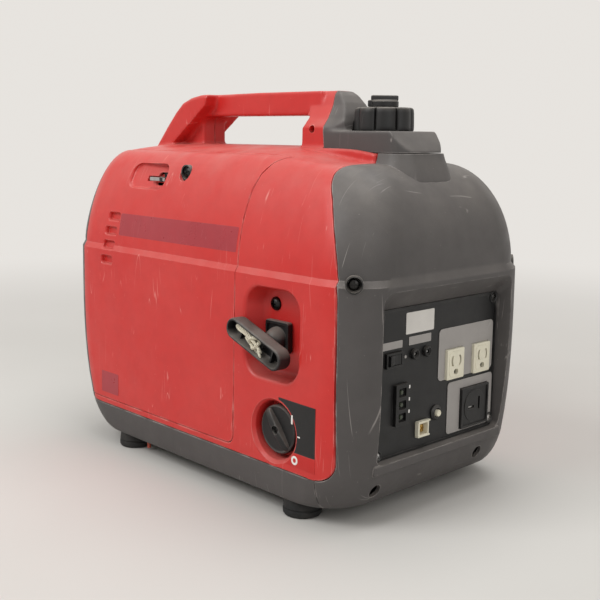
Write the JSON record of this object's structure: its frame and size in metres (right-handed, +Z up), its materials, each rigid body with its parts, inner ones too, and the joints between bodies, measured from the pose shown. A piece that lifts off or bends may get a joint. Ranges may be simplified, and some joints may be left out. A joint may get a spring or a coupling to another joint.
{
  "type": "inverter generator",
  "caption": "Portable suitcase inverter generator: red side shells with carrying handle, grey end covers, recoil starter, fuel cap and control panel with sockets.",
  "frame": {"origin": "on the ground under the middle of the whole object's box, grip included", "axes": "+X towards the control panel end, -Y towards the recoil starter side, +Z up"},
  "size_m": [0.5025, 0.301, 0.425],
  "materials": {
    "red_shell": "satin moulded plastic, scuffed",
    "grey_shell": "fine grained moulded plastic, scuffed",
    "panel_black": "satin black",
    "black_plastic": "satin moulded plastic",
    "cream_plastic": "satin cream",
    "rubber": "matt rubber",
    "hose": "pinkish translucent hose",
    "foam": "open foam",
    "rope": "braided cord",
    "screw": "black zinc",
    "steel": "bare steel",
    "iron": "plain iron",
    "brass": "plain brass",
    "alloy": "die cast"
  },
  "bodies": {
    "casing": {"left_shell": "red_shell", "right_shell": "red_shell", "front_cover": "grey_shell", "rear_cover": "grey_shell", "under_cover": "grey_shell", "filler_surround": "grey_shell", "foot_front_left": "rubber", "foot_front_right": "rubber", "foot_rear_left": "rubber", "foot_rear_right": "rubber", "control_panel": "panel_black", "ac_outlet_left": "cream_plastic", "ac_outlet_right": "cream_plastic", "dc_outlet": "panel_black", "ground_terminal": "cream_plastic", "parallel_socket_left": "panel_black", "parallel_socket_right": "panel_black", "indicator_block": "panel_black", "eco_switch_frame": "panel_black", "breaker_body": "panel_black", "fuel_tank": "black_plastic", "inverter_unit": "alloy", "starter_housing": "black_plastic", "recoil_spring": "steel", "starter_rope": "rope", "rope_guide": "black_plastic", "engine_switch_body": "black_plastic", "crankcase": "alloy", "cylinder": "alloy", "head_cover": "alloy", "stator": "iron", "fan_shroud": "black_plastic", "ignition_coil": "black_plastic", "spark_plug": "steel", "spark_plug_cap": "rubber", "carburettor": "alloy", "air_cleaner_case": "black_plastic", "air_filter": "foam", "muffler": "steel", "exhaust_outlet": "steel", "mount_front": "rubber", "mount_rear": "rubber", "drain_hose": "hose"},
    "grip": {"starter_grip": "black_plastic"},
    "reel": {"rope_reel": "black_plastic"},
    "switch_knob": {"engine_switch_knob": "black_plastic"},
    "choke_slide": {"choke_lever": "steel"},
    "choke_spindle": {"choke_shaft": "brass"},
    "cap_seal": {"cap_gasket": "rubber"},
    "cap": {"fuel_cap": "black_plastic"},
    "vent": {"vent_lever": "black_plastic"},
    "eco": {"eco_rocker": "panel_black"},
    "breaker": {"breaker_button": "cream_plastic"},
    "service_cover": {"maintenance_cover": "red_shell"},
    "service_screw": {"cover_screw": "screw"},
    "plug_hatch": {"spark_plug_cover": "red_shell"},
    "crank": {"crankshaft": "steel", "rotor": "iron", "cooling_fan": "black_plastic"},
    "oil_cap": {"oil_filler_cap": "black_plastic"}
  },
  "joints": [
    {"name": "grip_pull", "type": "slide", "parent": "casing", "child": "grip", "axis": [0, -1, 0], "range_m": [0, 0.6], "stiffness_N_per_m": 12, "springref_m": -0.4, "deforming": ["starter_rope"]},
    {"name": "reel_turn", "type": "hinge", "parent": "casing", "child": "reel", "pos_m": [0.13, 0.0075, 0.122], "axis": [1, 0, 0], "range_deg": [-5, 660]},
    {"name": "engine_switch_turn", "type": "hinge", "parent": "casing", "child": "switch_knob", "pos_m": [0.145, -0.1225, 0.087], "axis": [0, -1, 0], "range_deg": [0, 90]},
    {"name": "choke_push", "type": "slide", "parent": "casing", "child": "choke_slide", "axis": [-1, 0, 0], "range_m": [0, 0.03]},
    {"name": "choke_turn", "type": "hinge", "parent": "casing", "child": "choke_spindle", "pos_m": [-0.08, -0.0805, 0.218], "axis": [0, -1, 0], "range_deg": [-5, 75]},
    {"name": "cap_lift", "type": "slide", "parent": "casing", "child": "cap_seal", "axis": [0, 0, 1], "range_m": [0, 0.06]},
    {"name": "cap_turn", "type": "hinge", "parent": "cap_seal", "child": "cap", "pos_m": [0.156, 0.0075, 0.395], "axis": [0, 0, 1], "range_deg": [0, 180]},
    {"name": "vent_turn", "type": "hinge", "parent": "cap", "child": "vent", "pos_m": [0.156, 0.0075, 0.412], "axis": [0, 0, 1], "range_deg": [0, 90]},
    {"name": "eco_rock", "type": "hinge", "parent": "casing", "child": "eco", "pos_m": [0.237, -0.0625, 0.1645], "axis": [0, 0, -1], "range_deg": [0, 16]},
    {"name": "breaker_push", "type": "slide", "parent": "casing", "child": "breaker", "axis": [-1, 0, 0], "range_m": [0, 0.0025], "stiffness_N_per_m": 300, "springref_m": -0.002},
    {"name": "cover_off", "type": "slide", "parent": "casing", "child": "service_cover", "axis": [0, -1, 0], "range_m": [0, 0.15]},
    {"name": "cover_screw_turn", "type": "hinge", "parent": "service_cover", "child": "service_screw", "pos_m": [-0.036, -0.0925, 0.335], "axis": [0, -1, 0], "range_deg": [0, 720]},
    {"name": "plug_hatch_lift", "type": "slide", "parent": "casing", "child": "plug_hatch", "axis": [0, 0, 1], "range_m": [0, 0.028]},
    {"name": "crank_spin", "type": "hinge", "parent": "casing", "child": "crank", "pos_m": [0, 0.0075, 0.122], "axis": [1, 0, 0], "continuous": true},
    {"name": "oil_cap_turn", "type": "hinge", "parent": "casing", "child": "oil_cap", "pos_m": [-0.07, -0.0805, 0.084], "axis": [0, -1, 0], "range_deg": [0, 720]}
  ],
  "couplings": [
    {"joint": "reel_turn", "follows": "grip_pull", "rad_per_m": 18.868},
    {"joint": "choke_turn", "follows": "choke_push", "rad_per_m": 40}
  ]
}
